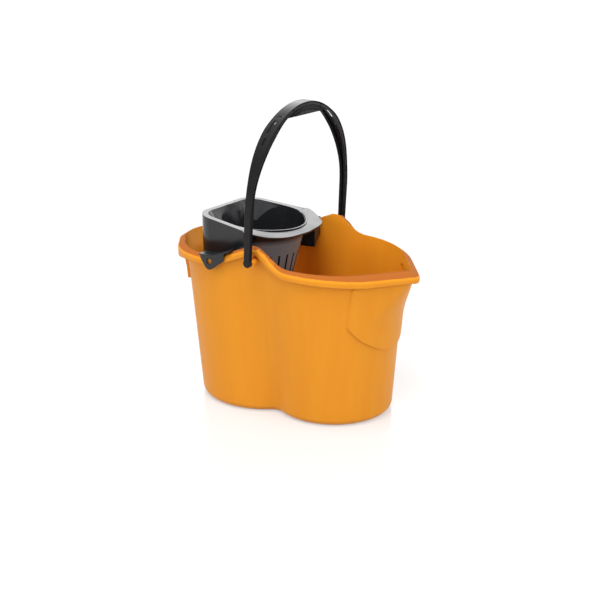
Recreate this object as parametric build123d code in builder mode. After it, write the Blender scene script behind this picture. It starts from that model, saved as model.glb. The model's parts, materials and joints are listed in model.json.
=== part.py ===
"""Oval mop bucket with a lift-out wringer basket and a swinging carry handle.

Frame: +Z up, floor at Z = 0, X along the bucket with +X to the spout, Y across it.
"""
import os
from math import cos, hypot, radians, sin, sqrt

from build123d import *

os.makedirs("parts", exist_ok=True)

# Bucket wall: a rear and a front lobe that grow with height, and a waist that fades upwards
wall = 2.2
floor_top = 4.6
rim_level = 250.0
loft_top = 290.0
rear_radius_base, rear_radius_rim = 103.0, 118.0
rear_centre_base, rear_centre_rim = -62.0, -69.0
front_radius_base, front_radius_rim = 92.5, 118.0
front_centre_base, front_centre_rim = 63.5, 53.0
waist_radius_base, waist_radius_top = 20.0, 600.0
base_round, edge_steps = 12.0, 4
foot_inset, foot_recess, foot_bar = 20.0, 2.0, 14.0

# Ends: flanks that touch the lobe at an angle and meet in a round tip, sharper towards the rim
plain_share = 0.97
flare_angle, flare_start, flare_end, flare_share = 35.0, 206.0, 254.0, 0.66
flare_reach, lip_flare = 7.0, 1.5
spout_angle, spout_start, spout_end, spout_share = 35.7, 150.0, 240.0, 0.12
nose_reach = 5.5
straight_steps, shaped_steps = 4, 10

# Raised bib on the wall under the spout
bib_rise = 3.6
bib_half_width, bib_bottom, bib_side_bottom = 80.0, 116.0, 162.0
bib_top, bib_corner = 227.0, 10.0

# Rim line seen from the side, with a raised ear at the handle
rim_rear, rim_front = 249.0, 237.5
ear_foot_rear, ear_foot_front = -72.0, 42.0
ear_foot_front_height = 247.5
ear_peak, ear_peak_height = 0.0, 277.0
ear_rear_round, ear_round, ear_front_round = 60.0, 22.0, 45.0
lip, lip_height, lip_round = 6.0, 9.0, 3.0

# Handle pivot in the ears, gusset ribs under the rear lip, and the pips in the tab holes
pivot_x, pivot_z = -3.0, 252.5
stud_radius, stud_play = 3.5, 0.08
boss_radius, boss_end, socket_floor = 6.5, 130.5, 117.4
gusset_angle, gusset_thickness, gusset_drop, gusset_rise = 33.0, 3.0, 58.0, 5.2
pip_x, pip_z, pip_radius, pip_rise = -78.0, 242.5, 3.4, 0.35

# Carry handle: an arch with straight arms, narrow at the studs and wide at the shoulders
arch_level = 320.0
arch_half, arch_rise = 136.5, 150.0
arch_half_inside, arch_rise_inside = 131.0, 145.0
grip_bottom, handle_lean = 452.0, 2.6
arm_half, arm_top = 5.5, 345.0
shoulder_half, shoulder_level, grip_half = 14.0, 440.0, 12.6
web, flange = 2.2, 1.8
channel_start = 269.0
rib, rib_inset, cross_rib_y = 1.6, 1.5, 36.0
groove_depth, groove_width, groove_drops = 0.8, 1.8, (6.0, 10.5)
edge_soft = 1.6
paddle_radius, stud_tip, stud_soft = 6.5, 118.4, 1.0
window_y, window_z, window_tilt = 78.5, 440.5, 38.0
window_length, window_width = 25.0, 7.5
slit_offset, slit_length, slit_width = 21.0, 10.0, 5.0
slot_offset, slot_length, slot_width = -27.0, 12.0, 4.0

# Wringer basket: a slotted funnel under a tilted collar
funnel_x, funnel_low, funnel_top = -67.0, 160.0, 305.0
funnel_low_radius, funnel_draft, funnel_wall = 38.8, 0.2467, 2.4
drain_slots, drain_width, drain_low, drain_high = 24, 3.4, 172.0, 236.0
hole_radius, inner_holes, inner_ring, outer_holes, outer_ring = 3.0, 6, 14.0, 12, 27.0
collar_level, collar_slope = 287.0, 0.12
collar_half, collar_rear, collar_front, collar_corner = 77.5, -143.0, -45.0, 34.0
collar_plate, skirt, skirt_bottom = 2.4, 2.2, 226.0
ring_inside, ring_outside, ring_drop = 60.0, 84.5, 4.2
mouth_radius, mouth_rear, mouth_corner, mouth_taper, mouth_depth = 67.5, 69.0, 27.0, 40.0, 27.0

# Wringer lugs that rest on the rim, and the tabs that hang over the lip
lug_rear, lug_front, lug_bottom = -97.0, -28.0, 223.0
lug_in, lug_out, lug_wall = 74.8, 109.0, 2.4
deck_slope, rest_gap, wall_gap, band_front = 0.5, 0.4, 1.2, -42.0
tab_gap, tab_wall = 0.7, 2.4
tab_rear, tab_front, tab_tip_x, tab_tip_z = -94.5, -52.0, -80.0, 226.0
tab_shoulder, tab_round, tab_hole = 246.0, 9.0, 4.4


def between(base, rim, height):
    """Straight draft from the base value to the rim value."""
    return base + (rim - base) * height / rim_level


def eased(height, start, end):
    """Smooth rise from 0 at the start height to 1 at the end height."""
    share = min(max((height - start) / (end - start), 0.0), 1.0)
    return share * share * (3 - 2 * share)


def mirrored(point):
    """The same point on the other side of the bucket."""
    return (point[0], -point[1])


def wall_outline(height, grow, at_rim=False):
    """Outline of the bucket wall at one height, moved outwards by grow, with its ends as at the rim."""
    flared = lip_flare if at_rim else eased(height, flare_start, flare_end)
    spouted = 1.0 if at_rim else eased(height, spout_start, spout_end)
    rear = between(rear_centre_base, rear_centre_rim, height) - flare_reach * flared
    front = between(front_centre_base, front_centre_rim, height)
    nose = nose_reach if at_rim else 0.0
    rear_r = between(rear_radius_base, rear_radius_rim, height)
    front_r = between(front_radius_base, front_radius_rim, height)
    waist_r = waist_radius_base * (waist_radius_top / waist_radius_base) ** (height / loft_top)
    flare_r = rear_r * (plain_share + (flare_share - plain_share) * flared)
    spout_r = front_r * (plain_share + (spout_share - plain_share) * spouted)
    rear_r, front_r, waist_r = rear_r + grow, front_r + grow, waist_r - grow
    flare_r, spout_r = flare_r + grow, spout_r + grow

    waist_x = (rear_r + waist_r) ** 2 - (front_r + waist_r) ** 2 - rear**2 + front**2
    waist_x = waist_x / (2 * (front - rear))
    waist_y = sqrt((rear_r + waist_r) ** 2 - (waist_x - rear) ** 2)
    rear_share = rear_r / (rear_r + waist_r)
    front_share = front_r / (front_r + waist_r)
    rear_waist = (rear + (waist_x - rear) * rear_share, waist_y * rear_share)
    front_waist = (front + (waist_x - front) * front_share, waist_y * front_share)

    flare_cos, flare_sin = cos(radians(flare_angle)), sin(radians(flare_angle))
    spout_cos, spout_sin = cos(radians(spout_angle)), sin(radians(spout_angle))
    flare_x = rear - (rear_r - flare_r) / flare_cos
    spout_x = front + nose + (front_r - spout_r) / spout_cos
    rear_flank = (rear - rear_r * flare_cos, rear_r * flare_sin)
    flare_touch = (flare_x - flare_r * flare_cos, flare_r * flare_sin)
    front_flank = (front + nose + front_r * spout_cos, front_r * spout_sin)
    spout_touch = (spout_x + spout_r * spout_cos, spout_r * spout_sin)

    with BuildSketch(Plane.XY.offset(height)) as outline:
        with BuildLine():
            ThreePointArc(mirrored(flare_touch), (flare_x - flare_r, 0), flare_touch)
            Line(flare_touch, rear_flank)
            ThreePointArc(rear_flank, (rear, rear_r), rear_waist)
            ThreePointArc(rear_waist, (waist_x, waist_y - waist_r), front_waist)
            ThreePointArc(front_waist, (front, front_r), front_flank)
            Line(front_flank, spout_touch)
            ThreePointArc(spout_touch, (spout_x + spout_r, 0), mirrored(spout_touch))
            Line(mirrored(spout_touch), mirrored(front_flank))
            ThreePointArc(mirrored(front_flank), (front, -front_r), mirrored(front_waist))
            ThreePointArc(mirrored(front_waist), (waist_x, waist_r - waist_y), mirrored(rear_waist))
            ThreePointArc(mirrored(rear_waist), (rear, -rear_r), mirrored(rear_flank))
            Line(mirrored(rear_flank), mirrored(flare_touch))
        make_face()
    return outline.sketch


def body(grow, bottom=0.0, edge_round=0.0):
    """Solid inside the bucket wall, moved outwards by grow, with a rounded lower edge."""
    low = bottom + edge_round
    heights = [low + (spout_start - low) * step / straight_steps for step in range(straight_steps)]
    heights += [
        spout_start + (loft_top - spout_start) * step / shaped_steps for step in range(shaped_steps + 1)
    ]
    with BuildPart() as solid:
        loft(ruled=True, sections=[wall_outline(height, grow) for height in heights])
        if edge_round:
            turns = [radians(90 * step / edge_steps) for step in range(edge_steps + 1)]
            loft(sections=[
                wall_outline(bottom + edge_round * (1 - cos(turn)), grow - edge_round * (1 - sin(turn)))
                for turn in turns
            ])
    return solid.part


def bib_prism(grow):
    """Block whose outline along X is the bib shield, moved outwards by grow."""
    with BuildPart() as solid:
        with BuildSketch(Plane.YZ.offset(front_centre_rim)) as shield:
            with BuildLine():
                side, top = bib_half_width + grow, bib_top + grow
                ThreePointArc((-side, bib_side_bottom), (0, bib_bottom - grow), (side, bib_side_bottom))
                Polyline((side, bib_side_bottom), (side, top), (-side, top), (-side, bib_side_bottom))
            make_face()
            fillet(shield.vertices().group_by(Axis.Z)[-1], bib_corner + grow)
        extrude(amount=front_radius_rim * 2)
    return solid.part


def rim_cover(lift):
    """Closed line around everything above the rim line raised by lift, drawn in X and Z."""
    reach, top = 260.0, loft_top + 40
    FilletPolyline(
        (-reach, rim_rear + lift),
        (ear_foot_rear, rim_rear + lift),
        (ear_peak, ear_peak_height + lift),
        (ear_foot_front, ear_foot_front_height + lift),
        (reach, rim_front + lift),
        radius=(ear_rear_round, ear_round, ear_front_round),
    )
    Polyline((reach, rim_front + lift), (reach, top), (-reach, top), (-reach, rim_rear + lift))


def above_rim(lift):
    """Everything above the rim line raised by lift."""
    with BuildPart() as solid:
        with BuildSketch(Plane.XZ):
            with BuildLine():
                rim_cover(lift)
            make_face()
        extrude(amount=2 * rear_radius_rim, both=True)
    return solid.part


def arch(half, rise, bottom):
    """Area under the handle arch, seen along X, down to the bottom height."""
    with BuildSketch(Plane.YZ) as area:
        with BuildLine():
            EllipticalCenterArc((0, arch_level), half, rise, 0, arc_size=180)
            Polyline((-half, arch_level), (-half, bottom), (half, bottom), (half, arch_level))
        make_face()
    return area.sketch


def bail(half, rise, bottom, inset):
    """Solid under an arch, as wide along X as the handle less the inset a side."""
    with BuildPart() as solid:
        extrude(arch(half, rise, bottom), amount=3 * shoulder_half, both=True)
        with BuildSketch(Plane.XZ) as width:
            with BuildLine():
                top = arch_level + arch_rise + 1
                narrow, wide, grip = arm_half - inset, shoulder_half - inset, grip_half - inset
                Line((0, bottom), (narrow, bottom))
                Line((narrow, bottom), (narrow, arm_top))
                Spline((narrow, arm_top), (wide, shoulder_level), (grip, top), tangents=((0, 1), (0, 1)))
                Line((grip, top), (0, top))
                mirror(about=Plane.YZ)
            make_face()
        extrude(amount=2 * arch_half, both=True, mode=Mode.INTERSECT)
    return solid.part


def lug_prism(inset, lift, start):
    """Sheared block of one lug from start outwards: between its ends, under the rim line moved by lift."""
    run = lug_out - start
    with BuildPart() as solid:
        with BuildSketch(Plane.XZ.offset(start)) as face:
            with Locations(((lug_rear + lug_front) / 2, lug_bottom - inset)):
                Rectangle(
                    lug_front - lug_rear - 2 * inset, loft_top - lug_bottom, align=(Align.CENTER, Align.MIN)
                )
            with BuildLine():
                rim_cover(lift - deck_slope * run)
            make_face(mode=Mode.SUBTRACT)
        extrude(amount=run * hypot(1, deck_slope), dir=(0, -1, deck_slope))
    return solid.part


collar_plane = Plane((funnel_x, 0, collar_level), x_dir=(1, 0, -collar_slope), z_dir=(collar_slope, 0, 1))


def mouth(grow):
    """Tapered block under the funnel's mouth: round in front, square behind with round corners."""
    with BuildPart() as solid:
        with BuildSketch(collar_plane) as plan:
            Circle(mouth_radius + grow)
            Rectangle(mouth_rear + grow, 2 * (mouth_radius + grow), align=(Align.MAX, Align.CENTER))
            fillet(plan.vertices().group_by(Axis.X)[0], mouth_corner + grow)
        extrude(amount=mouth_depth, dir=-collar_plane.z_dir, taper=mouth_taper)
    return solid.part


def upright(grow):
    """Upright prism around the wall outline at the rear rim, moved outwards by grow."""
    with BuildPart() as solid:
        extrude(wall_outline(rim_rear, grow), amount=2 * (loft_top - rim_rear), both=True)
    return solid.part


# Bucket: shell, rolled lip under the rim line, then the bib
middle = body(-wall / 2)
over_rim = above_rim(0)
with BuildPart() as bucket:
    add(body(0, 0, base_round))
    add(body(-wall, floor_top, base_round - wall), mode=Mode.SUBTRACT)
    add(over_rim, mode=Mode.SUBTRACT)
    with BuildPart(mode=Mode.PRIVATE) as roll:
        lip_low = rim_front - 2 * lip_height
        loft(ruled=True, sections=[wall_outline(lip_low, lip, True), wall_outline(loft_top, lip, True)])
        add(above_rim(-lip_height), mode=Mode.INTERSECT)
        add(over_rim, mode=Mode.SUBTRACT)
        crest = roll.faces().filter_by(lambda face: face.normal_at().Z > 0.3).edges()
        crest = crest.filter_by(lambda edge: abs(edge.center().Y) > 1 or abs(edge.center().X) > spout_start)
        fillet(crest, lip_round)
        add(middle, mode=Mode.SUBTRACT)
    add(roll.part)
    with BuildPart(mode=Mode.PRIVATE) as raised_bib:
        add(body(bib_rise))
        add(middle, mode=Mode.SUBTRACT)
        add(bib_prism(0), mode=Mode.INTERSECT)
    add(raised_bib.part)
    with BuildPart(mode=Mode.PRIVATE) as bib_hollow:
        add(body(bib_rise - wall))
        add(bib_prism(-wall), mode=Mode.INTERSECT)
    add(bib_hollow.part, mode=Mode.SUBTRACT)

    # Gusset ribs under the rear lip
    with BuildPart(mode=Mode.PRIVATE) as gussets:
        add(body(gusset_rise))
        add(middle, mode=Mode.SUBTRACT)
        with BuildPart(mode=Mode.PRIVATE) as plates:
            for turn in (180 - gusset_angle, 180 + gusset_angle):
                with Locations(Location((rear_centre_rim, 0, rim_rear - lip_height / 2), (0, 0, turn))):
                    Box(
                        2 * rear_radius_rim, gusset_thickness, gusset_drop,
                        align=(Align.MIN, Align.CENTER, Align.MAX),
                    )
        add(plates.part, mode=Mode.INTERSECT)
    add(gussets.part)

    # Pivot bosses with blind sockets, pips and a foot recessed on both sides of a bar
    with BuildPart(mode=Mode.PRIVATE) as bosses:
        with Locations(Location((pivot_x, 0, pivot_z), (90, 0, 0))):
            Cylinder(boss_radius, 2 * boss_end)
        add(middle, mode=Mode.SUBTRACT)
        with Locations(
            Location((pivot_x, -socket_floor, pivot_z), (90, 0, 0)),
            Location((pivot_x, socket_floor, pivot_z), (-90, 0, 0)),
        ):
            Cylinder(
                stud_radius + stud_play, boss_end, align=(Align.CENTER, Align.CENTER, Align.MIN),
                mode=Mode.SUBTRACT,
            )
    add(bosses.part)
    with BuildPart(mode=Mode.PRIVATE) as pips:
        with Locations(Location((pip_x, 0, pip_z), (90, 0, 0))):
            Cylinder(pip_radius, 3 * rear_radius_rim)
        add(body(lip + pip_rise), mode=Mode.INTERSECT)
        add(middle, mode=Mode.SUBTRACT)
    add(pips.part)
    with BuildSketch():
        add(wall_outline(0, -foot_inset))
        Rectangle(foot_bar, 2 * rear_radius_rim, mode=Mode.SUBTRACT)
    extrude(amount=foot_recess, mode=Mode.SUBTRACT)
bucket.part.label = "bucket"
bucket.part.color = Color("orange")
export_step(bucket.part, "parts/bucket.step")

# Carry handle: solid arch, hollowed from inside to a ribbed channel and a deep grip
with BuildPart() as carry_handle:
    with BuildPart(mode=Mode.PRIVATE) as arch_solid:
        add(bail(arch_half, arch_rise, pivot_z, 0))
        outer_edges = arch_solid.edges().filter_by(lambda edge: abs(edge.center().X) > 1)
        outer_edges = outer_edges.filter_by(lambda edge: edge.center().Z > pivot_z + 1)
        fillet(outer_edges, edge_soft)
        with BuildPart(mode=Mode.PRIVATE) as inside:
            extrude(arch(arch_half_inside, arch_rise_inside, 0), amount=3 * shoulder_half, both=True)
            split(bisect_by=Plane.XY.offset(grip_bottom), keep=Keep.BOTTOM)
        add(inside.part, mode=Mode.SUBTRACT)
    add(arch_solid.part)
    with BuildPart(mode=Mode.PRIVATE) as channel:
        add(bail(arch_half - web, arch_rise - web, channel_start, flange))
        with BuildPart(mode=Mode.PRIVATE) as ribs:
            with Locations((0, 0, grip_bottom + rib_inset)):
                Box(rib, arch_half, arch_rise, align=(Align.CENTER, Align.CENTER, Align.MIN))
            with Locations((0, -cross_rib_y, grip_bottom + rib_inset), (0, cross_rib_y, grip_bottom + rib_inset)):
                Box(4 * shoulder_half, rib, arch_rise, align=(Align.CENTER, Align.CENTER, Align.MIN))
        add(ribs.part, mode=Mode.SUBTRACT)
    add(channel.part, mode=Mode.SUBTRACT)

    # Shallow grooves along both sides of the grip
    with BuildPart(mode=Mode.PRIVATE) as grooves:
        for drop in groove_drops:
            low = drop + groove_width
            with BuildPart(mode=Mode.PRIVATE) as groove:
                extrude(arch(arch_half - drop, arch_rise - drop, 0), amount=3 * shoulder_half, both=True)
                extrude(
                    arch(arch_half - low, arch_rise - low, 0), amount=3 * shoulder_half, both=True,
                    mode=Mode.SUBTRACT,
                )
                split(bisect_by=Plane.XY.offset(grip_bottom), keep=Keep.TOP)
            add(groove.part)
        add(bail(arch_half, arch_rise, pivot_z, groove_depth), mode=Mode.SUBTRACT)
    add(grooves.part, mode=Mode.SUBTRACT)

    # Windows through each shoulder
    for side in (-1, 1):
        with Locations(Location((0, side * window_y, window_z), (-side * window_tilt, 0, 0))):
            Box(window_width, window_length, 8 * web, mode=Mode.SUBTRACT)
            with Locations((0, -side * slit_offset, 0)):
                Box(slit_length, slit_width, 8 * web, mode=Mode.SUBTRACT)
            with Locations((0, -side * slot_offset, 0)):
                Box(slot_width, slot_length, 8 * web, mode=Mode.SUBTRACT)

    # Round paddles at the arm ends, each with a stud on its inner face
    with BuildPart(mode=Mode.PRIVATE) as stud:
        with BuildSketch(Plane.XZ.offset(stud_tip)):
            with Locations((0, pivot_z)):
                Circle(stud_radius)
        extrude(amount=arch_half - stud_tip)
        chamfer(stud.edges().sort_by(Axis.Y)[-1], stud_soft)
        with BuildSketch(Plane.XZ.offset(arch_half_inside)):
            with Locations((0, pivot_z)):
                Circle(paddle_radius)
        extrude(amount=arch_half - arch_half_inside)
        fillet(stud.edges().sort_by(Axis.Y)[0], edge_soft)
        mirror(about=Plane.XZ)
    add(stud.part)
handle_solid = carry_handle.part.moved(Location((pivot_x, 0, 0)))
handle_solid = handle_solid.rotate(Axis((pivot_x, 0, pivot_z), (0, 1, 0)), handle_lean)
handle_solid.label = "carry_handle"
handle_solid.color = Color("black")
export_step(handle_solid, "parts/carry_handle.step")

# Wringer basket: funnel and drained floor
funnel_rise = funnel_top - funnel_low
funnel_top_radius = funnel_low_radius + funnel_draft * funnel_rise
with BuildPart() as wringer_basket:
    with Locations((funnel_x, 0, funnel_low)):
        Cone(funnel_low_radius, funnel_top_radius, funnel_rise, align=(Align.CENTER, Align.CENTER, Align.MIN))
    add(mouth(funnel_wall))

    # Tilted collar: flat D-shaped plate with a deep skirt behind, sloping ring in front
    with BuildPart(mode=Mode.PRIVATE) as collar:
        with BuildSketch(Plane.XY.offset(skirt_bottom)) as plan:
            with Locations((collar_front, 0)):
                Rectangle(collar_front - collar_rear, 2 * collar_half, align=(Align.MAX, Align.CENTER))
            fillet(plan.vertices().group_by(Axis.X)[0], collar_corner)
        extrude(amount=loft_top + 20 - skirt_bottom)
        split(bisect_by=collar_plane, keep=Keep.BOTTOM)
        with BuildPart(mode=Mode.PRIVATE) as under_plate:
            with BuildSketch(Plane.XY.offset(skirt_bottom)):
                offset(plan.sketch, amount=-skirt)
                with Locations((collar_front, 0)):
                    Rectangle(2 * skirt, 2 * (collar_half - skirt))
            extrude(amount=loft_top + 20 - skirt_bottom)
            split(bisect_by=collar_plane.offset(-collar_plate), keep=Keep.BOTTOM)
        add(under_plate.part, mode=Mode.SUBTRACT)
    add(collar.part)
    with BuildPart(mode=Mode.PRIVATE) as ring:
        with BuildSketch(Plane(collar_plane.origin, x_dir=collar_plane.x_dir, z_dir=(0, -1, 0))):
            with BuildLine():
                Polyline(
                    (ring_inside, 0), (ring_inside, -collar_plate),
                    (ring_outside, -collar_plate - ring_drop), (ring_outside, -ring_drop), (ring_inside, 0),
                )
            make_face()
        revolve(axis=Axis(collar_plane.origin, collar_plane.z_dir))
        with Locations((collar_front, 0, collar_level)):
            Box(
                4 * ring_outside, 4 * ring_outside, 4 * ring_outside,
                align=(Align.MAX, Align.CENTER, Align.CENTER), mode=Mode.SUBTRACT,
            )
    add(ring.part)

    # Lugs: sloping decks on open boxes, a band over the rim, and hanging tabs
    with BuildPart(mode=Mode.PRIVATE) as lugs:
        add(lug_prism(0, rest_gap + lug_wall, lug_in))
        add(lug_prism(lug_wall, rest_gap, lug_in + lug_wall), mode=Mode.SUBTRACT)
        with BuildPart(mode=Mode.PRIVATE) as bucket_zone:
            add(body(wall))
            add(body(-wall - wall_gap), mode=Mode.SUBTRACT)
            add(above_rim(rest_gap), mode=Mode.SUBTRACT)
        add(bucket_zone.part, mode=Mode.SUBTRACT)
        with BuildPart(mode=Mode.PRIVATE) as band:
            with Locations(((lug_rear + band_front) / 2, lug_wall - lug_out, rim_level)):
                Box(
                    band_front - lug_rear, rear_radius_rim, 2 * (loft_top - rim_level),
                    align=(Align.CENTER, Align.MAX, Align.CENTER),
                )
            add(upright(lip + tab_gap + tab_wall), mode=Mode.INTERSECT)
            add(above_rim(rest_gap), mode=Mode.INTERSECT)
            add(above_rim(rest_gap + lug_wall), mode=Mode.SUBTRACT)
        add(band.part)
        with BuildPart(mode=Mode.PRIVATE) as tab:
            with BuildSketch(Plane.XZ):
                with BuildLine():
                    FilletPolyline(
                        (tab_rear, loft_top), (tab_rear, tab_shoulder), (tab_tip_x, tab_tip_z),
                        (tab_front, tab_shoulder), (tab_front, loft_top),
                        radius=tab_round,
                    )
                    Line((tab_front, loft_top), (tab_rear, loft_top))
                make_face()
                with Locations((pip_x, pip_z)):
                    Circle(tab_hole, mode=Mode.SUBTRACT)
            extrude(amount=2 * rear_radius_rim)
            add(upright(lip + tab_gap + tab_wall), mode=Mode.INTERSECT)
            add(upright(lip + tab_gap), mode=Mode.SUBTRACT)
            add(above_rim(rest_gap + lug_wall), mode=Mode.SUBTRACT)
        add(tab.part)
        mirror(about=Plane.XZ)
    add(lugs.part)

    # Funnel hollow, level top, drain slots and floor holes
    with Locations((funnel_x, 0, funnel_low + funnel_wall)):
        Cone(
            funnel_low_radius - funnel_wall, funnel_top_radius - funnel_wall, funnel_rise,
            align=(Align.CENTER, Align.CENTER, Align.MIN), mode=Mode.SUBTRACT,
        )
    add(mouth(0), mode=Mode.SUBTRACT)
    split(bisect_by=collar_plane, keep=Keep.BOTTOM)
    with Locations((funnel_x, 0, (drain_low + drain_high) / 2)):
        with PolarLocations(funnel_low_radius + 3 * funnel_wall, drain_slots):
            Box(12 * funnel_wall, drain_width, drain_high - drain_low, mode=Mode.SUBTRACT)
    with Locations((funnel_x, 0, funnel_low)):
        Cylinder(hole_radius, 4 * funnel_wall, mode=Mode.SUBTRACT)
        with PolarLocations(inner_ring, inner_holes):
            Cylinder(hole_radius, 4 * funnel_wall, mode=Mode.SUBTRACT)
        with PolarLocations(outer_ring, outer_holes):
            Cylinder(hole_radius, 4 * funnel_wall, mode=Mode.SUBTRACT)
wringer_basket.part.label = "wringer_basket"
wringer_basket.part.color = Color("dimgray")
export_step(wringer_basket.part, "parts/wringer_basket.step")
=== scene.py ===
import json
import math

import bmesh
import bpy
from mathutils import Matrix, Vector
from mathutils.bvhtree import BVHTree


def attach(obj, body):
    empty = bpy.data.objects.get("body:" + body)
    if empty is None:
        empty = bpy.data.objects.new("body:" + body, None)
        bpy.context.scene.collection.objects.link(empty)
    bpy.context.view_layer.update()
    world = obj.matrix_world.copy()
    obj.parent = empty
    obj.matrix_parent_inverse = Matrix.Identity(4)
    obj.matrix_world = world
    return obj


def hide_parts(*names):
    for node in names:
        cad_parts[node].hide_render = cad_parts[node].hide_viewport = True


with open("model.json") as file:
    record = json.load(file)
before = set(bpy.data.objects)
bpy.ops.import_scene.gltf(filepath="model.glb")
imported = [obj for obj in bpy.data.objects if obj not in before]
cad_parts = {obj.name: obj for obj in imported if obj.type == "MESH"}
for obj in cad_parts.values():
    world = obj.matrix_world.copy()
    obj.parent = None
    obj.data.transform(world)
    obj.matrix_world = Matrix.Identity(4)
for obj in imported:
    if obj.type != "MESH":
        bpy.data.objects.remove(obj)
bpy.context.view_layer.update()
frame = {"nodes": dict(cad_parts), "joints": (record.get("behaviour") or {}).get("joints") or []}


# Bucket: one injection moulding in orange polypropylene, pulled straight up off its core, so the wall
# is satin with faint flow streaks along the draw. The foot is scuffed where it slides on floors.
def linear(code):
    """Linear colour of an sRGB hex code."""
    parts = [int(code[i:i + 2], 16) / 255 for i in (1, 3, 5)]
    return [p / 12.92 if p <= 0.04045 else ((p + 0.055) / 1.055) ** 2.4 for p in parts] + [1.0]


def node(tree, kind, settings=None, links=None):
    """Adds a node, sets its properties and input values by name or number, and links its inputs."""
    made = tree.nodes.new(kind)
    for name, value in (settings or {}).items():
        if isinstance(name, str) and hasattr(made, name):
            setattr(made, name, value)
        else:
            made.inputs[name].default_value = value
    for name, source in (links or {}).items():
        tree.links.new(source, made.inputs[name])
    return made


def start_finish(name, shape):
    """A new material on a mesh: its node tree and its surface shader."""
    material = bpy.data.materials.new(name)
    material.use_nodes = True
    tree = material.node_tree
    shape.materials.clear()
    shape.materials.append(material)
    return tree, tree.nodes["Principled BSDF"]


def eased(value, start, end):
    """Smooth rise from 0 at the start to 1 at the end."""
    share = min(max((value - start) / (end - start), 0.0), 1.0)
    return share * share * (3 - 2 * share)


merge_gap, sharp_turn = 1e-6, math.radians(28)


def formed_copy(part, move):
    """A merged copy of a CAD part with each point moved: its mesh, and the form that is still worked on."""
    shape = frame["nodes"][part].data.copy()
    shape.name = part + "_formed"
    form = bmesh.new()
    form.from_mesh(shape)
    bmesh.ops.remove_doubles(form, verts=form.verts, dist=merge_gap)
    for point in form.verts:
        point.co = move(point.co)
    return shape, form


def seat(shape, form, part):
    """Ends a formed copy: smooth faces between sharp edges, in the place of its CAD part."""
    form.to_mesh(shape)
    form.free()
    if "custom_normal" in shape.attributes:
        shape.attributes.remove(shape.attributes["custom_normal"])
    shape.shade_smooth()
    shape.set_sharp_from_angle(angle=sharp_turn)
    piece = bpy.data.objects.new(part + "_formed", shape)
    bpy.context.scene.collection.objects.link(piece)
    piece.modifiers.new("even_shading", "WEIGHTED_NORMAL").keep_sharp = True
    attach(piece, part)
    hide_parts(part)


# A face of the inside looks towards the axis of its lobe, the rear one under the wringer or the front one.
lobe_rear, lobe_front, lobe_between, looks_in = -0.067, 0.056, -0.005, -0.02
moulding = frame["nodes"]["bucket"].data
corners = [point.co for point in moulding.vertices]
faces, inner_faces = [], []
for face in moulding.polygons:
    faces.append(tuple(face.vertices))
    lobe = lobe_rear if face.center.x < lobe_between else lobe_front
    if Vector((face.center.x - lobe, face.center.y)).dot(face.normal.xy) < looks_in:
        inner_faces.append(faces[-1])
inner_wall = BVHTree.FromPolygons(corners, inner_faces)
whole = BVHTree.FromPolygons(corners, faces)

# The lip slopes down outwards by two thirds of its width and hangs lower at the rear. The snap pips on
# it stay where they are. The rim's top over a point is looked for from the sky, a little inwards of it.
wall, lip_height, lip_slope, sky, inwards = 0.0022, 0.0095, 0.66, 0.4, 0.6
rear_drop, rear_start, rear_full, drop_start, drop_full = 0.006, -0.13, -0.19, 0.003, 0.008
pip_x, pip_z, pip_reach = -0.078, 0.2425, 0.0055

# The bib under the spout fades into the wall at its sides and partly at its top. A point within half
# the wall of the inside is the inside's own, and one past the whole wall stands out from it.
inner_skin, outer_skin = 0.5 * wall, 1.2 * wall
bib_rear, bib_low, bib_high, bib_keep, bib_half = 0.03, 0.112, 0.2278, 0.025, 0.066
bib_fade_start, bib_fade_end, bib_fade = 0.2, 0.225, 0.75
flush, flush_from = 0.0009, 0.8 * bib_half


def shape_bucket(point):
    """The bucket's points, with the lip's lowered and the bib's drawn in to the wall."""
    near, _, _, away = inner_wall.find_nearest(point)
    if away < inner_skin:
        return point
    below = near.lerp(point, inwards)
    top, _, _, _ = whole.ray_cast(Vector((below.x, below.y, sky)), Vector((0, 0, -1)))
    if top and top.z - point.z < lip_height and point.z > bib_high:
        if math.hypot(point.x - pip_x, point.z - pip_z) < pip_reach:
            return point
        drop = lip_slope * math.hypot(point.x - near.x, point.y - near.y)
        hang = eased(point.x, rear_start, rear_full) * eased(top.z - point.z, drop_start, drop_full)
        return point - Vector((0, 0, drop + rear_drop * hang))
    if away > outer_skin and point.x > bib_rear and bib_low < point.z < bib_high:
        keep = 1 - eased(abs(point.y), bib_keep, bib_half)
        keep *= 1 - bib_fade * eased(point.z, bib_fade_start, bib_fade_end)
        return near.lerp(point, (wall + (away - wall) * keep) / away)
    return point


shape, form = formed_copy("bucket", shape_bucket)
sides = [point for point in form.verts
         if point.co.x > bib_rear and bib_low < point.co.z < bib_high and abs(point.co.y) > flush_from]
bmesh.ops.remove_doubles(form, verts=sides, dist=flush)

# Satin polypropylene gives a warm orange that glows where it is thin, and a soft broad shine.
# Flow streaks are 14 mm apart and twelve times as long. Sink waves are 45 mm long. The mould's grit is
# 0.15 mm, drawn at 0.7 mm so that it shows.
tree, surface = start_finish("satin_orange_polypropylene", shape)
streak_gap, streak_squeeze, grit, sink, sink_height, edge_width = 0.014, 0.08, 0.0007, 0.045, 40.0, 0.0016
coordinates = node(tree, "ShaderNodeTexCoord")
place, facing = coordinates.outputs["Object"], coordinates.outputs["Normal"]
drawn = node(tree, "ShaderNodeMapping", {"Scale": (1, 1, streak_squeeze)}, {"Vector": place})
streaks = node(tree, "ShaderNodeTexNoise", {"Scale": 1 / streak_gap, "Detail": 3.0},
               {"Vector": drawn.outputs[0]})
grain = node(tree, "ShaderNodeTexNoise", {"Scale": 1 / grit, "Detail": 2.0}, {"Vector": place})
waves = node(tree, "ShaderNodeTexNoise", {"Scale": 1 / sink, "Detail": 1.0}, {"Vector": place})
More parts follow.
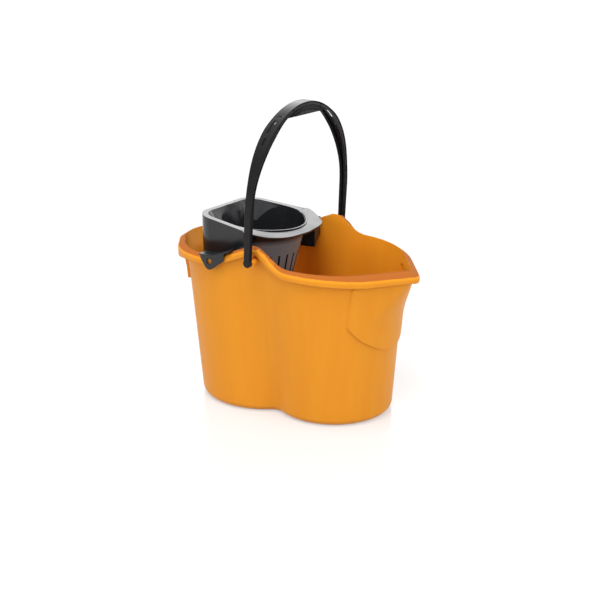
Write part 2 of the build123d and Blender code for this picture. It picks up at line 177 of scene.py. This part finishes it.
tint = node(tree, "ShaderNodeMix", {"data_type": "RGBA", "A": linear("#E6901E"), "B": linear("#EB9B26")},
            {"Factor": streaks.outputs["Fac"]})

# Edges are paler, partly where they are rubbed and partly as a painted highlight along them, and the scuffed
# foot is paler too.
scuff_low, scuff_high = 0.001, 0.007
soft_edge = node(tree, "ShaderNodeBevel", {"samples": 6, "Radius": edge_width})
flat = node(tree, "ShaderNodeNewGeometry")
turn = node(tree, "ShaderNodeVectorMath", {"operation": "DOT_PRODUCT"},
            {0: soft_edge.outputs[0], 1: flat.outputs["Normal"]})
edge_wear_and_highlight = node(tree, "ShaderNodeMapRange",
              {"From Min": 0.99, "From Max": 0.75, "To Min": 0.0, "To Max": 0.35},
              {"Value": turn.outputs["Value"]})
height = node(tree, "ShaderNodeSeparateXYZ", {}, {"Vector": place})
foot = node(tree, "ShaderNodeMapRange",
            {"From Min": scuff_low, "From Max": scuff_high, "To Min": 1.2, "To Max": 0.0},
            {"Value": height.outputs["Z"]})
scuffs = node(tree, "ShaderNodeMath", {"operation": "MULTIPLY"},
              {0: foot.outputs[0], 1: grain.outputs["Fac"]})
wear_and_edge_highlight = node(tree, "ShaderNodeMath", {"operation": "MAXIMUM", "use_clamp": True},
            {0: edge_wear_and_highlight.outputs[0], 1: scuffs.outputs[0]})
paled = node(tree, "ShaderNodeMix", {"data_type": "RGBA", "B": linear("#F0A44E")},
             {"Factor": wear_and_edge_highlight.outputs[0], "A": tint.outputs["Result"]})

# The top of the lip is duller and deeper in colour: its deeper orange is painted shade, as dark as the shaded
# inside.
lip_from = 0.2
upward = node(tree, "ShaderNodeSeparateXYZ", {}, {"Vector": facing})
level = node(tree, "ShaderNodeMapRange", {"From Min": 0.6, "From Max": 0.75}, {"Value": upward.outputs["Z"]})
high = node(tree, "ShaderNodeMath", {"operation": "GREATER_THAN", 1: lip_from}, {0: height.outputs["Z"]})
shaded_lip_top = node(tree, "ShaderNodeMath", {"operation": "MULTIPLY"}, {0: level.outputs[0], 1: high.outputs[0]})
colour = node(tree, "ShaderNodeMix", {"data_type": "RGBA", "B": linear("#AF6224")},
              {"Factor": shaded_lip_top.outputs[0], "A": paled.outputs["Result"]})
satin = node(tree, "ShaderNodeMapRange", {"To Min": 0.4, "To Max": 0.5}, {"Value": waves.outputs["Fac"]})
shine = node(tree, "ShaderNodeMath", {"operation": "MULTIPLY_ADD", "use_clamp": True, 1: 0.4},
             {0: shaded_lip_top.outputs[0], 2: satin.outputs[0]})

relief = node(tree, "ShaderNodeMath", {"operation": "MULTIPLY_ADD", 1: sink_height},
              {0: waves.outputs["Fac"], 2: grain.outputs["Fac"]})
bump = node(tree, "ShaderNodeBump", {"Strength": 0.12, "Distance": 0.00004},
            {"Height": relief.outputs[0], "Normal": soft_edge.outputs[0]})
tree.links.new(colour.outputs["Result"], surface.inputs["Base Color"])
tree.links.new(shine.outputs[0], surface.inputs["Roughness"])
tree.links.new(bump.outputs[0], surface.inputs["Normal"])
surface.inputs["IOR"].default_value = 1.49
surface.inputs["Specular IOR Level"].default_value = 0.25
surface.inputs["Subsurface Weight"].default_value = 0.12
surface.inputs["Subsurface Radius"].default_value = (1.0, 0.45, 0.1)
surface.inputs["Subsurface Scale"].default_value = 0.004
seat(shape, form, "bucket")


# Wringer basket: one moulding in graphite polypropylene that hangs on the rim by its lugs and tabs.
# Its mould was polished, so the tilted collar and the funnel mirror the lamps, with slight waves.
def window(value, start, full, fading, end):
    """Smooth rise from 0 at the start to 1, and smooth fall to 0 at the end."""
    return eased(value, start, full) * (1 - eased(value, fading, end))


# The collar spreads by 10 mm towards its front corners, where it runs out over the lugs, and its mouth
# is rounder than a D. Turns are in degrees from the front, reaches are from the funnel's axis.
funnel_x, least_reach = -0.067, 0.01
collar_spread, collar_turns, collar_reaches = 0.010, (8, 42, 66, 118), (0.071, 0.081, 0.088, 0.112)
mouth_spread, mouth_turns, mouth_reaches = 0.005, (30, 80, 94, 130), (0.052, 0.064, 0.069, 0.078)

# The ring in front rises to the collar's level where the two meet.
collar_level, collar_slope, collar_front = 0.287, 0.12, -0.0452
ring_inside, ring_outside, ring_end = 0.060, 0.0845, 0.0865
ring_drop, ring_deep, ring_fade = 0.0042, 0.009, 0.035


def round_collar(point):
    """The collar's points, moved to and from the funnel's axis, and up at the ends of the ring."""
    out = Vector((point.x - funnel_x, point.y))
    far, turn = out.length, math.degrees(math.atan2(abs(out.y), out.x))
    spread = window(turn, *collar_turns) * window(far, *collar_reaches)
    mouth = window(turn, *mouth_turns) * window(far, *mouth_reaches)
    rise, deep = 0.0, collar_level - collar_slope * out.x - point.z
    if point.x > collar_front and ring_inside < far < ring_end and 0 < deep < ring_deep:
        rise = min(ring_drop * (far - ring_inside) / (ring_outside - ring_inside), deep)
        rise *= 1 - eased(point.x, collar_front, collar_front + ring_fade)
    out *= 1 + (collar_spread * spread + mouth_spread * mouth) / max(far, least_reach)
    return Vector((funnel_x + out.x, out.y, point.z + rise))


shape, form = formed_copy("wringer_basket", round_collar)

# Polished polypropylene gives a deep grey with clear soft-edged reflections. The waves are 22 mm long,
# as sink marks are. The flecks of filler are 0.2 mm, drawn at 0.6 mm so that they show.
tree, surface = start_finish("polished_graphite_polypropylene", shape)
sink, fleck, edge_width = 0.022, 0.0006, 0.0009
coordinates = node(tree, "ShaderNodeTexCoord")
place, facing = coordinates.outputs["Object"], coordinates.outputs["Normal"]
waves = node(tree, "ShaderNodeTexNoise", {"Scale": 1 / sink, "Detail": 1.0}, {"Vector": place})
flecks = node(tree, "ShaderNodeTexNoise", {"Scale": 1 / fleck, "Detail": 2.0}, {"Vector": place})
dark = node(tree, "ShaderNodeMix", {"data_type": "RGBA", "A": linear("#17181A"), "B": linear("#1E1F22")},
            {"Factor": flecks.outputs["Fac"]})

# The cone's outside is paler and bluer than the collar: painted light, standing in for a highlight down its
# side and against the orange light the bucket throws on it. It is told from the inside by its normal, which
# points away from the funnel's axis.
cone_top, cone_fade, cone_reach, looks_out = 0.264, 0.01, 0.068, 0.02
apart = node(tree, "ShaderNodeSeparateXYZ", {}, {"Vector": place})
across = node(tree, "ShaderNodeCombineXYZ", {}, {"X": apart.outputs["X"], "Y": apart.outputs["Y"]})
away = node(tree, "ShaderNodeVectorMath", {"operation": "SUBTRACT", 1: (funnel_x, 0, 0)},
            {0: across.outputs[0]})
radius = node(tree, "ShaderNodeVectorMath", {"operation": "LENGTH"}, {0: away.outputs[0]})
outward = node(tree, "ShaderNodeVectorMath", {"operation": "DOT_PRODUCT"},
               {0: away.outputs[0], 1: facing})
outside = node(tree, "ShaderNodeMath", {"operation": "GREATER_THAN", 1: looks_out},
               {0: outward.outputs["Value"]})
near_axis = node(tree, "ShaderNodeMath", {"operation": "LESS_THAN", 1: cone_reach},
                 {0: radius.outputs["Value"]})
below = node(tree, "ShaderNodeMapRange", {"From Min": cone_top, "From Max": cone_top - cone_fade},
             {"Value": apart.outputs["Z"]})
cone_side = node(tree, "ShaderNodeMath", {"operation": "MULTIPLY"},
                 {0: outside.outputs[0], 1: near_axis.outputs[0]})
cone_painted_light = node(tree, "ShaderNodeMath", {"operation": "MULTIPLY"}, {0: cone_side.outputs[0], 1: below.outputs[0]})
tint = node(tree, "ShaderNodeMix", {"data_type": "RGBA", "B": linear("#626D74")},
            {"Factor": cone_painted_light.outputs[0], "A": dark.outputs["Result"]})

soft_edge = node(tree, "ShaderNodeBevel", {"samples": 6, "Radius": edge_width})
shine = node(tree, "ShaderNodeMapRange", {"To Min": 0.18, "To Max": 0.3}, {"Value": waves.outputs["Fac"]})
bump = node(tree, "ShaderNodeBump", {"Strength": 0.2, "Distance": 0.001},
            {"Height": waves.outputs["Fac"], "Normal": soft_edge.outputs[0]})
tree.links.new(tint.outputs["Result"], surface.inputs["Base Color"])
tree.links.new(shine.outputs[0], surface.inputs["Roughness"])
tree.links.new(bump.outputs[0], surface.inputs["Normal"])
surface.inputs["IOR"].default_value = 1.5
seat(shape, form, "wringer_basket")


# Carry handle: one black polypropylene moulding, a ribbed channel bent over into a grooved grip.
# Its two studs spring into the sockets in the bucket's ears. Hands polish the top of the grip.
swing = next(joint for joint in frame["joints"] if joint["name"] == "handle_swing")
pivot, lean = Vector(swing["pos_m"]), Matrix.Rotation(math.radians(2.6), 3, "Y")
upright = lean.inverted()
arch_level, arch_half, arch_rise, least_share = 0.32, 0.1365, 0.15, 0.1
slim, slim_low, slim_high = 0.26, 0.345, 0.43
stout, stout_out, step_low, step_high, grip_side, arm_side = 1.5, 0.008, 0.282, 0.294, 0.06, 0.09


def shape_bail(point):
    """The handle's points, drawn in along X up to the grip, with stouter arms above a step at the studs."""
    at = upright @ (point - pivot) + pivot
    at.x = pivot.x + (at.x - pivot.x) * (1 - slim * eased(at.z, slim_low, slim_high))
    reach = math.hypot(at.y / arch_half, max(at.z - arch_level, 0) / arch_rise)
    share = eased(at.z, step_low, step_high) * eased(abs(at.y), grip_side, arm_side)
    grown = 1 + share * ((1 + stout_out + (reach - 1) * stout) / max(reach, least_share) - 1)
    at.y *= grown
    if at.z > arch_level:
        at.z = arch_level + (at.z - arch_level) * grown
    return pivot + lean @ (at - pivot)


shape, form = formed_copy("carry_handle", shape_bail)

# Both sides of the bail are open pockets between narrow edges.
pocket_edge, pocket_depth, pocket_low, side_out, looks_aside = 0.0008, 0.0036, 0.27, 0.0035, 0.8
sides = []
for face in form.faces:
    at, way = upright @ (face.calc_center_median() - pivot), upright @ face.normal
    aside = abs(way.x) > looks_aside and at.x * way.x > side_out * looks_aside
    if aside and at.z + pivot.z > pocket_low:
        sides.append(face)
bmesh.ops.inset_region(form, faces=sides, thickness=pocket_edge, depth=-pocket_depth,
                       use_even_offset=True, use_boundary=True)

# The right shoulder is closed but for one slit: strips 2 mm thick fill its web along the arch, one below
# the slit, one above it and one at each of its sides. Places along the arch are from the middle turn.
strip_top, strip_deep, strip_half, slit_half, lap = 0.0002, 0.0021, 0.0056, 0.0011, 0.0005
strips_low, slit_low, slit_high, strips_high = -0.036, 0.004, 0.012, 0.027
middle_turn, span, steps = math.radians(54.9), 0.141, 6
for low, high, left, right in ((strips_low, slit_low, -strip_half, strip_half),
                               (slit_high, strips_high, -strip_half, strip_half),
                               (slit_low - lap, slit_high + lap, -strip_half, -slit_half),
                               (slit_low - lap, slit_high + lap, slit_half, strip_half)):
    rings = []
    for step in range(steps + 1):
        turn = middle_turn + (low + (high - low) * step / steps) / span
        ring = []
        for across, deep in ((left, strip_top), (right, strip_top), (right, strip_deep), (left, strip_deep)):
            out, up = (arch_half - deep) * math.cos(turn), (arch_rise - deep) * math.sin(turn)
            ring.append(form.verts.new(pivot + lean @ Vector((across, -out, arch_level + up - pivot.z))))
        rings.append(ring)
    for ring, after in zip(rings, rings[1:]):
        for k in range(4):
            form.faces.new((ring[k], ring[k - 1], after[k - 1], after[k]))
    form.faces.new(rings[0])
    form.faces.new(rings[-1][::-1])

# Grained black polypropylene gives a dull deep black with a grey sheen where it turns to the light.
# The spark-eroded grain is 0.3 mm, drawn at 0.8 mm so that it shows.
tree, surface = start_finish("grained_black_polypropylene", shape)
spark, edge_width, grip_low, grip_top = 0.0008, 0.0008, 0.44, 0.468
place = node(tree, "ShaderNodeTexCoord").outputs["Object"]
grain = node(tree, "ShaderNodeTexNoise", {"Scale": 1 / spark, "Detail": 3.0}, {"Vector": place})
tint = node(tree, "ShaderNodeMix", {"data_type": "RGBA", "A": linear("#1B1B1C"), "B": linear("#242426")},
            {"Factor": grain.outputs["Fac"]})
soft_edge = node(tree, "ShaderNodeBevel", {"samples": 6, "Radius": edge_width})
height = node(tree, "ShaderNodeSeparateXYZ", {}, {"Vector": place})
shine = node(tree, "ShaderNodeMapRange",
             {"From Min": grip_low, "From Max": grip_top, "To Min": 0.4, "To Max": 0.3},
             {"Value": height.outputs["Z"]})
bump = node(tree, "ShaderNodeBump", {"Strength": 0.2, "Distance": 0.0001},
            {"Height": grain.outputs["Fac"], "Normal": soft_edge.outputs[0]})
tree.links.new(tint.outputs["Result"], surface.inputs["Base Color"])
tree.links.new(shine.outputs[0], surface.inputs["Roughness"])
tree.links.new(bump.outputs[0], surface.inputs["Normal"])
surface.inputs["IOR"].default_value = 1.5
surface.inputs["Specular IOR Level"].default_value = 0.2
seat(shape, form, "carry_handle")


# Studio: a glossy white table that fades into a white backdrop. Both show white to the camera and in
# reflections, and light the object no more than a plain pale room does.
def shown(tree):
    """1 for a ray from the camera, a reflection or a clear piece, and 0 for light on the object."""
    path = node(tree, "ShaderNodeLightPath")
    mirrored = node(tree, "ShaderNodeMath", {"operation": "ADD"},
                    {0: path.outputs["Is Camera Ray"], 1: path.outputs["Is Glossy Ray"]})
    seen = node(tree, "ShaderNodeMath", {"operation": "ADD", "use_clamp": True},
                {0: mirrored.outputs[0], 1: path.outputs["Is Transmission Ray"]})
    return seen.outputs[0]


room_light, room_white = 0.7, 1.0
world = bpy.data.worlds.new("white_room")
bpy.context.scene.world = world
world.use_nodes = True
tree = world.node_tree
level = node(tree, "ShaderNodeMapRange", {"To Min": room_light, "To Max": room_white}, {"Value": shown(tree)})
tree.links.new(level.outputs[0], tree.nodes["Background"].inputs["Strength"])
tree.nodes["Background"].inputs["Color"].default_value = (1, 1, 1, 1)

# Glossy acrylic gives a faint mirror image of the foot, in a white that the object's shadow still dims.
table_half, table_glow = 20.0, 0.42
table = bpy.data.meshes.new("table")
table.from_pydata([(-table_half, -table_half, 0), (table_half, -table_half, 0),
                   (table_half, table_half, 0), (-table_half, table_half, 0)], [], [(0, 1, 2, 3)])
floor = bpy.data.objects.new("table", table)
bpy.context.scene.collection.objects.link(floor)
tree, surface = start_finish("glossy_white_acrylic", table)
glow = node(tree, "ShaderNodeMath", {"operation": "MULTIPLY", 1: table_glow}, {0: shown(tree)})
tree.links.new(glow.outputs[0], surface.inputs["Emission Strength"])
surface.inputs["Emission Color"].default_value = (1, 1, 1, 1)
surface.inputs["Base Color"].default_value = linear("#B8B8B8")
surface.inputs["Roughness"].default_value = 0.18


def softbox(name, at, towards, width, depth, watts, mirrored=False):
    """A soft rectangular lamp that the camera doesn't see: it lights the plastic or is mirrored in it."""
    lamp = bpy.data.lights.new(name, "AREA")
    lamp.shape, lamp.size, lamp.size_y, lamp.energy = "RECTANGLE", width, depth, watts
    holder = bpy.data.objects.new(name, lamp)
    holder.location = at
    holder.rotation_euler = (Vector(towards) - Vector(at)).to_track_quat("-Z", "Y").to_euler()
    holder.visible_camera, holder.visible_glossy, holder.visible_diffuse = False, mirrored, not mirrored
    bpy.context.scene.collection.objects.link(holder)


softbox("right_softbox", at=(2.3, -0.6, 1.0), towards=(0, 0, 0.15), width=1.4, depth=1.2, watts=20)
softbox("left_softbox", at=(-0.8, -2.2, 1.0), towards=(0, 0, 0.15), width=1.4, depth=1.2, watts=15)
softbox("top_softbox", at=(0.1, -0.7, 2.2), towards=(0, 0, 0.2), width=1.2, depth=1.2, watts=28)
softbox("back_panel", at=(-0.5, 1.6, 1.45), towards=(0, 0, 0.28), width=2.8, depth=1.3, watts=30,
        mirrored=True)

# A black curtain hangs round the camera's side of the table. Only reflections show it. Velvet gives
# nothing back, so the plastic has dark stretches between the lamps.
curtain_radius, curtain_low, curtain_high = 2.6, 0.45, 3.2
curtain_start, curtain_sweep, curtain_steps = -200, 220, 24
turns = [math.radians(curtain_start + curtain_sweep * step / curtain_steps)
         for step in range(curtain_steps + 1)]
rows = [(curtain_radius * math.cos(turn), curtain_radius * math.sin(turn), level)
        for level in (curtain_low, curtain_high) for turn in turns]
cloth = bpy.data.meshes.new("black_curtain")
cloth.from_pydata(rows, [], [(k, k + 1, k + 1 + len(turns), k + len(turns)) for k in range(curtain_steps)])
curtain = bpy.data.objects.new("black_curtain", cloth)
bpy.context.scene.collection.objects.link(curtain)
_, surface = start_finish("black_velvet", cloth)
surface.inputs["Base Color"].default_value = linear("#060606")
surface.inputs["Specular IOR Level"].default_value = 0.0
curtain.visible_camera = curtain.visible_diffuse = curtain.visible_shadow = False
curtain.visible_transmission = False


# Camera: at the photograph's height and angle, with its frame moved down to hold the handle. The lens
# is long and stands well back, so that the bucket's sides draw together no more than they do there.
distance, azimuth, elevation, aim = 1.71, math.radians(32.5), math.radians(20), Vector((0, 0, 0.1102))
back = Vector((math.sin(azimuth) * math.cos(elevation), -math.cos(azimuth) * math.cos(elevation),
               math.sin(elevation)))
lens = bpy.data.cameras.new("camera")
lens.sensor_width, lens.lens, lens.shift_x, lens.shift_y = 36.0, 64.8, 0.0017, 0.05
camera = bpy.data.objects.new("camera", lens)
camera.location = aim + distance * back
camera.rotation_euler = back.to_track_quat("Z", "Y").to_euler()
bpy.context.scene.collection.objects.link(camera)
bpy.context.scene.camera = camera
bpy.context.scene.view_settings.view_transform = "Standard"
